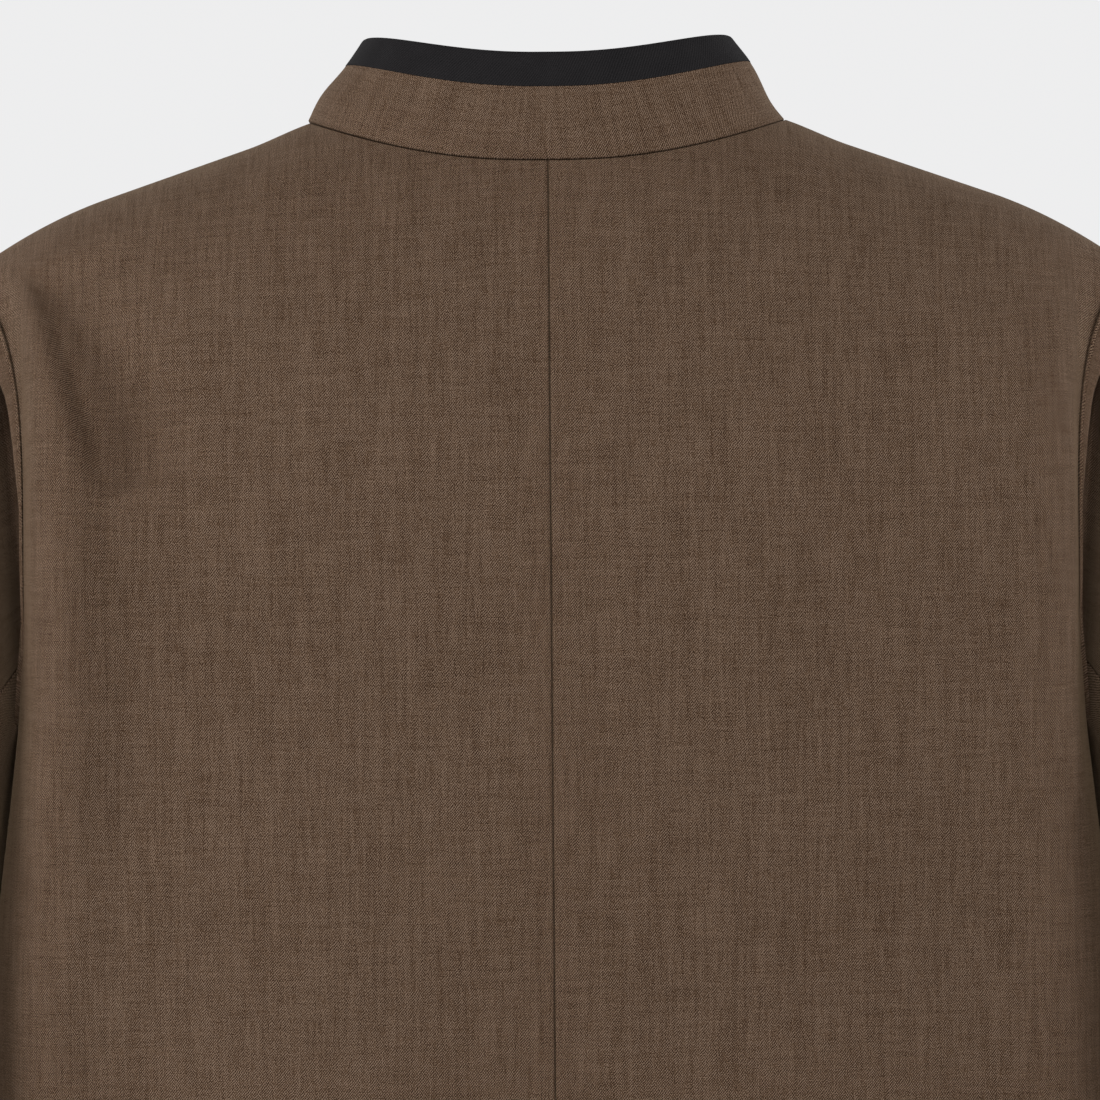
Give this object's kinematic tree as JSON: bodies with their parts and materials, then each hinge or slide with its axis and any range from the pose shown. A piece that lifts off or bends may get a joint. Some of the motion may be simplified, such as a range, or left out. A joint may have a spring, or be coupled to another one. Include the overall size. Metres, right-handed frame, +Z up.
{
  "type": "mandarin collar jacket",
  "caption": "Brown wool jacket with a stand collar edged in black binding, set-in sleeves, a centre back seam and a buttoned front, filled out as worn",
  "frame": {"origin": "midway between the two side neck points, on the line of the shoulder seams, where the wearer's shoulders carry the jacket", "axes": "+Z up, the front faces -Y, the wearer's left is +X"},
  "size_m": [0.6364, 0.2373, 0.7888],
  "materials": {
    "cloth": "brown fine wool twill, matte",
    "binding": "black ribbed binding, matte",
    "button": "dark brown, satin"
  },
  "bodies": {
    "root": {"back_left": "cloth", "back_right": "cloth", "front_left": "cloth", "front_right": "cloth", "sleeve_upper_left": "cloth", "sleeve_under_left": "cloth", "sleeve_upper_right": "cloth", "sleeve_under_right": "cloth", "collar": "cloth", "collar_binding": "binding", "button_1": "button", "button_2": "button", "button_3": "button", "button_4": "button", "button_5": "button"}
  },
  "joints": []
}
